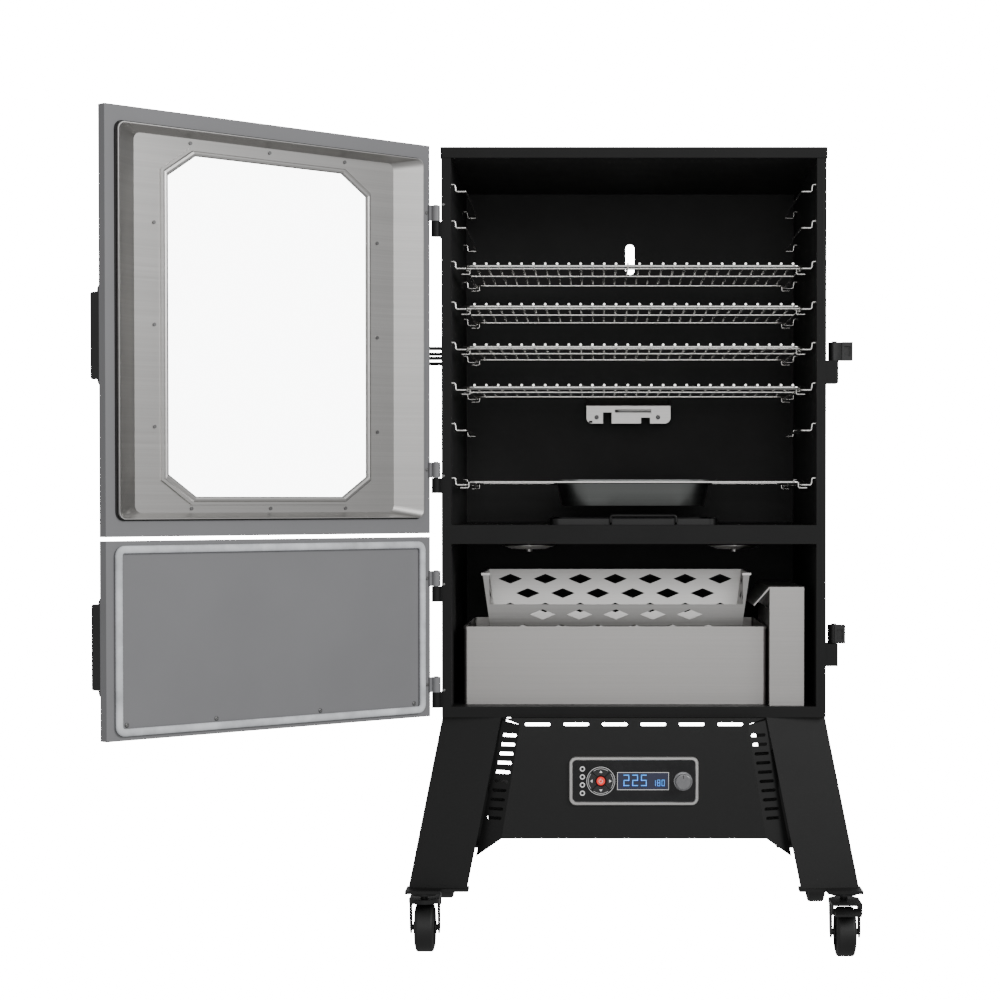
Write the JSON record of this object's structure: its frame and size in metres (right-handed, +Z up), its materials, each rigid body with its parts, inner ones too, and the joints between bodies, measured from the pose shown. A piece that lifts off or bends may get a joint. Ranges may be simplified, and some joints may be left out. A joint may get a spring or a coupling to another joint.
{
  "type": "electric cabinet smoker",
  "caption": "Upright electric smoker cabinet on splayed legs with casters, two side-hung doors, wire racks, water pan, chip basket and a control panel.",
  "frame": {"origin": "on the floor, below the centre of the cabinet", "axes": "+Z up, -Y towards the user, +X to the user's right when facing the doors"},
  "size_m": [0.9352, 0.8356, 1.047],
  "materials": {
    "black_enamel": "satin black enamel",
    "grey_enamel": "satin grey enamel",
    "stand_paint": "satin charcoal powder coat",
    "stainless": "brushed",
    "chrome_wire": "polished wire",
    "board": "matt fibre board",
    "glass": "clear",
    "rope": "braided rope",
    "black_plastic": "matt",
    "panel_plastic": "gloss",
    "display": "smoked lens",
    "wheel_rubber": "matt",
    "key_plastic": "satin",
    "power_red": "lit",
    "fork_steel": "black coated"
  },
  "bodies": {
    "cabinet": {"outer_wrap": "black_enamel", "cabinet_insulation": "board", "chamber_liners": "black_enamel", "top_cap": "black_enamel", "divider_shelf": "black_enamel", "floor_pan": "black_enamel", "rack_rails": "chrome_wire", "probe_guard": "stainless", "temperature_probe": "stainless", "smoke_baffles": "stainless", "heater_box": "stainless", "heating_element": "stainless", "air_duct": "stainless", "legs": "stand_paint", "front_apron": "stand_paint", "electronics_box": "stand_paint", "cord_gland": "black_plastic", "control_bezel": "stainless", "control_face": "panel_plastic", "display_window": "display", "hinge_pins": "black_enamel", "latch_bases": "black_enamel", "side_handle": "black_plastic", "caster_plates": "fork_steel"},
    "upper_door": {"upper_door_shell": "grey_enamel", "upper_door_liner": "stainless", "window_frame": "stainless", "window_glass": "glass", "upper_door_screws": "stainless", "upper_door_handle": "black_plastic"},
    "lower_door": {"lower_door_shell": "grey_enamel", "lower_door_panel": "grey_enamel", "lower_door_gasket": "rope", "lower_door_handle": "black_plastic"},
    "cooking_rack_1": {"cooking_rack_1": "chrome_wire"},
    "cooking_rack_2": {"cooking_rack_2": "chrome_wire"},
    "cooking_rack_3": {"cooking_rack_3": "chrome_wire"},
    "cooking_rack_4": {"cooking_rack_4": "chrome_wire"},
    "pan_rack": {"pan_rack": "chrome_wire"},
    "water_pan": {"water_pan": "stainless"},
    "drip_tray": {"drip_tray": "stainless"},
    "chip_basket": {"chip_basket": "stainless"},
    "upper_latch_arm": {"upper_latch_arm": "black_plastic"},
    "lower_latch_arm": {"lower_latch_arm": "black_plastic"},
    "control_knob": {"control_knob": "stainless"},
    "power_button": {"power_button": "power_red"},
    "pad_key_up": {"pad_key_up": "key_plastic"},
    "pad_key_down": {"pad_key_down": "key_plastic"},
    "pad_key_left": {"pad_key_left": "key_plastic"},
    "pad_key_right": {"pad_key_right": "key_plastic"},
    "front_left_brake": {"front_left_brake": "fork_steel"},
    "front_right_brake": {"front_right_brake": "fork_steel"},
    "front_left_fork": {"front_left_fork": "fork_steel"},
    "front_left_wheel": {"front_left_wheel": "wheel_rubber"},
    "front_right_fork": {"front_right_fork": "fork_steel"},
    "front_right_wheel": {"front_right_wheel": "wheel_rubber"},
    "rear_left_fork": {"rear_left_fork": "fork_steel"},
    "rear_left_wheel": {"rear_left_wheel": "wheel_rubber"},
    "rear_right_fork": {"rear_right_fork": "fork_steel"},
    "rear_right_wheel": {"rear_right_wheel": "wheel_rubber"}
  },
  "joints": [
    {"name": "upper_door_hinge", "type": "hinge", "parent": "cabinet", "child": "upper_door", "pos_m": [-0.257, -0.2065, 0], "axis": [0, 0, -1], "range_deg": [-134.7, 45]},
    {"name": "lower_door_hinge", "type": "hinge", "parent": "cabinet", "child": "lower_door", "pos_m": [-0.257, -0.2065, 0], "axis": [0, 0, -1], "range_deg": [-134.7, 45]},
    {"name": "rack_1_slide", "type": "slide", "parent": "cabinet", "child": "cooking_rack_1", "axis": [0, -1, 0], "range_m": [0, 0.32]},
    {"name": "rack_2_slide", "type": "slide", "parent": "cabinet", "child": "cooking_rack_2", "axis": [0, -1, 0], "range_m": [0, 0.32]},
    {"name": "rack_3_slide", "type": "slide", "parent": "cabinet", "child": "cooking_rack_3", "axis": [0, -1, 0], "range_m": [0, 0.32]},
    {"name": "rack_4_slide", "type": "slide", "parent": "cabinet", "child": "cooking_rack_4", "axis": [0, -1, 0], "range_m": [0, 0.32]},
    {"name": "pan_rack_slide", "type": "slide", "parent": "cabinet", "child": "pan_rack", "axis": [0, -1, 0], "range_m": [0, 0.32]},
    {"name": "water_pan_lift", "type": "slide", "parent": "pan_rack", "child": "water_pan", "axis": [0, 0, 1], "range_m": [0, 0.06]},
    {"name": "drip_tray_slide", "type": "slide", "parent": "cabinet", "child": "drip_tray", "axis": [0, -1, 0], "range_m": [0, 0.32]},
    {"name": "chip_basket_lift", "type": "slide", "parent": "cabinet", "child": "chip_basket", "axis": [0, 0, 1], "range_m": [0, 0.024]},
    {"name": "upper_latch_swing", "type": "hinge", "parent": "cabinet", "child": "upper_latch_arm", "pos_m": [0.262, -0.1825, 0.7], "axis": [0, 0, -1], "range_deg": [0, 50]},
    {"name": "lower_latch_swing", "type": "hinge", "parent": "cabinet", "child": "lower_latch_arm", "pos_m": [0.262, -0.1825, 0.7], "axis": [0, 0, -1], "range_deg": [0, 50]},
    {"name": "knob_turn", "type": "hinge", "parent": "cabinet", "child": "control_knob", "pos_m": [0.0638, -0.22, 0.224], "axis": [0, -1, 0], "continuous": true},
    {"name": "power_button_press", "type": "slide", "parent": "cabinet", "child": "power_button", "axis": [0, 1, 0], "range_m": [0, 0.0008], "stiffness_N_per_m": 600},
    {"name": "pad_key_up_press", "type": "slide", "parent": "cabinet", "child": "pad_key_up", "axis": [0, 1, 0], "range_m": [0, 0.0008], "stiffness_N_per_m": 600},
    {"name": "pad_key_down_press", "type": "slide", "parent": "cabinet", "child": "pad_key_down", "axis": [0, 1, 0], "range_m": [0, 0.0008], "stiffness_N_per_m": 600},
    {"name": "pad_key_left_press", "type": "slide", "parent": "cabinet", "child": "pad_key_left", "axis": [0, 1, 0], "range_m": [0, 0.0008], "stiffness_N_per_m": 600},
    {"name": "pad_key_right_press", "type": "slide", "parent": "cabinet", "child": "pad_key_right", "axis": [0, 1, 0], "range_m": [0, 0.0008], "stiffness_N_per_m": 600},
    {"name": "front_left_swivel", "type": "hinge", "parent": "cabinet", "child": "front_left_fork", "pos_m": [-0.272, -0.2225, 0.07], "axis": [0, 0, 1], "continuous": true},
    {"name": "front_left_roll", "type": "hinge", "parent": "front_left_fork", "child": "front_left_wheel", "pos_m": [-0.272, -0.2055, 0.032], "axis": [1, 0, 0], "continuous": true},
    {"name": "front_right_swivel", "type": "hinge", "parent": "cabinet", "child": "front_right_fork", "pos_m": [0.272, -0.2225, 0.07], "axis": [0, 0, 1], "continuous": true},
    {"name": "front_right_roll", "type": "hinge", "parent": "front_right_fork", "child": "front_right_wheel", "pos_m": [0.272, -0.2395, 0.032], "axis": [1, 0, 0], "continuous": true},
    {"name": "rear_left_swivel", "type": "hinge", "parent": "cabinet", "child": "rear_left_fork", "pos_m": [-0.272, 0.2225, 0.07], "axis": [0, 0, 1], "continuous": true},
    {"name": "rear_left_roll", "type": "hinge", "parent": "rear_left_fork", "child": "rear_left_wheel", "pos_m": [-0.272, 0.2395, 0.032], "axis": [1, 0, 0], "continuous": true},
    {"name": "rear_right_swivel", "type": "hinge", "parent": "cabinet", "child": "rear_right_fork", "pos_m": [0.272, 0.2225, 0.07], "axis": [0, 0, 1], "continuous": true},
    {"name": "rear_right_roll", "type": "hinge", "parent": "rear_right_fork", "child": "rear_right_wheel", "pos_m": [0.272, 0.2055, 0.032], "axis": [1, 0, 0], "continuous": true},
    {"name": "front_left_brake_press", "type": "hinge", "parent": "front_left_fork", "child": "front_left_brake", "pos_m": [-0.272, -0.1795, 0.062], "axis": [-1, 0, 0], "range_deg": [0, 15]},
    {"name": "front_right_brake_press", "type": "hinge", "parent": "front_right_fork", "child": "front_right_brake", "pos_m": [0.272, -0.2655, 0.062], "axis": [1, 0, 0], "range_deg": [0, 15]}
  ]
}
